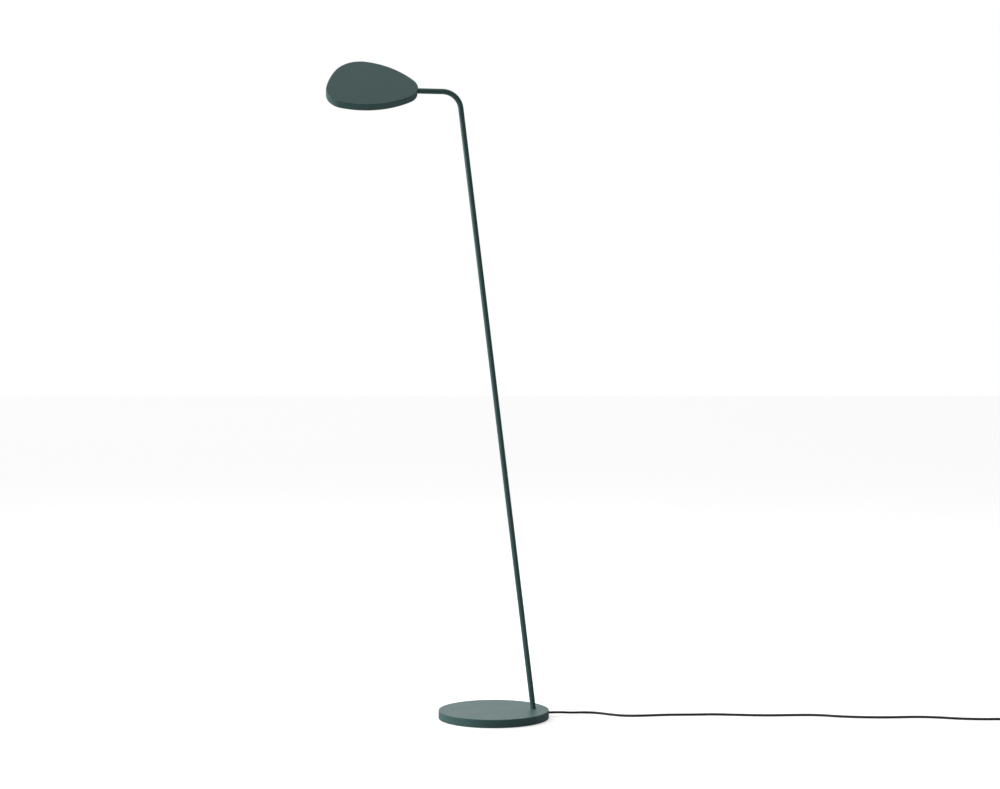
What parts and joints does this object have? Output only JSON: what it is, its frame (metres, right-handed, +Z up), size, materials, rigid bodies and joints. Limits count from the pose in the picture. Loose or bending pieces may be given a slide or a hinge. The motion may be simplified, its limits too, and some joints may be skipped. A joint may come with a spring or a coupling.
{
  "type": "floor lamp",
  "caption": "Slim floor lamp: leaf-shaped turning head on one bent tube, leaning from a round weighted base, with a low-voltage lead and plug-in power supply.",
  "frame": {"origin": "centre of the base's resting face, on the floor", "axes": "+Z up; the arm and head point along -X; the lead leaves the base along +X"},
  "size_m": [1.3688, 0.2713, 1.2167],
  "materials": {
    "stand_paint": "fine matt powder coat, dark petrol green",
    "head_paint": "die-cast and sheet aluminium with the same fine matt powder coat",
    "black_rubber": "matt",
    "grey_pad": "soft gap filler",
    "plain_steel": "zinc plated",
    "black_plastic": "fine spark texture",
    "button_plastic": "moulded in the coat's colour",
    "white_plastic": "diffuse white",
    "cord_sheath": "matt sheath",
    "supply_plastic": "fine spark texture",
    "circuit_board": "solder mask",
    "pin_plating": "nickel plated",
    "bare_aluminium": "machined",
    "bush_brass": "turned",
    "opal_diffuser": "opal, satin",
    "white_board": "white solder mask on aluminium",
    "led_emitter": "phosphor"
  },
  "bodies": {
    "stand": {"base_plate": "stand_paint", "foot_pad": "black_rubber", "stem_foot_plate": "plain_steel", "foot_screws": "plain_steel", "cord_clamp": "black_plastic", "clamp_screws": "plain_steel", "cord_grommet": "black_rubber", "sheath_end": "cord_sheath", "stem_tube": "stand_paint", "inner_lead": "cord_sheath", "arm_spindle": "plain_steel", "stop_pin": "plain_steel", "neck_washer": "black_plastic", "thrust_washer": "plain_steel", "spring_washer": "plain_steel", "retaining_ring": "plain_steel", "cord_lead": "cord_sheath", "cord_coil": "cord_sheath", "coil_tie": "black_plastic", "cord_tail": "cord_sheath", "supply_back": "supply_plastic", "supply_front": "supply_plastic", "supply_board": "circuit_board", "supply_board_feet": "supply_plastic", "supply_transformer": "black_plastic", "plug_pins": "pin_plating", "supply_relief": "black_rubber"},
    "head": {"head_housing": "head_paint", "pivot_block": "bare_aluminium", "block_screws": "plain_steel", "front_bush": "bush_brass", "rear_bush": "bush_brass", "underside_cover": "head_paint", "cover_screws": "plain_steel", "diffuser": "opal_diffuser", "reflector_frame": "white_plastic", "thermal_pad": "grey_pad", "led_board": "white_board", "leds": "led_emitter", "dimmer_board": "circuit_board", "dimmer_screws": "plain_steel", "push_switch": "black_plastic", "lead_connector": "white_plastic", "head_lead": "cord_sheath", "board_wires": "cord_sheath"},
    "button": {"dimmer_button": "button_plastic", "switch_plunger": "black_plastic"}
  },
  "joints": [
    {"name": "head_turn", "type": "hinge", "parent": "stand", "child": "head", "pos_m": [-0.14079, 0, 1.159], "axis": [1, 0, 0], "range_deg": [-202, 98]},
    {"name": "button_press", "type": "slide", "parent": "head", "child": "button", "axis": [0, -0.788, 0.6157], "range_m": [0, 0.0005], "stiffness_N_per_m": 400, "springref_m": -0.0005}
  ]
}
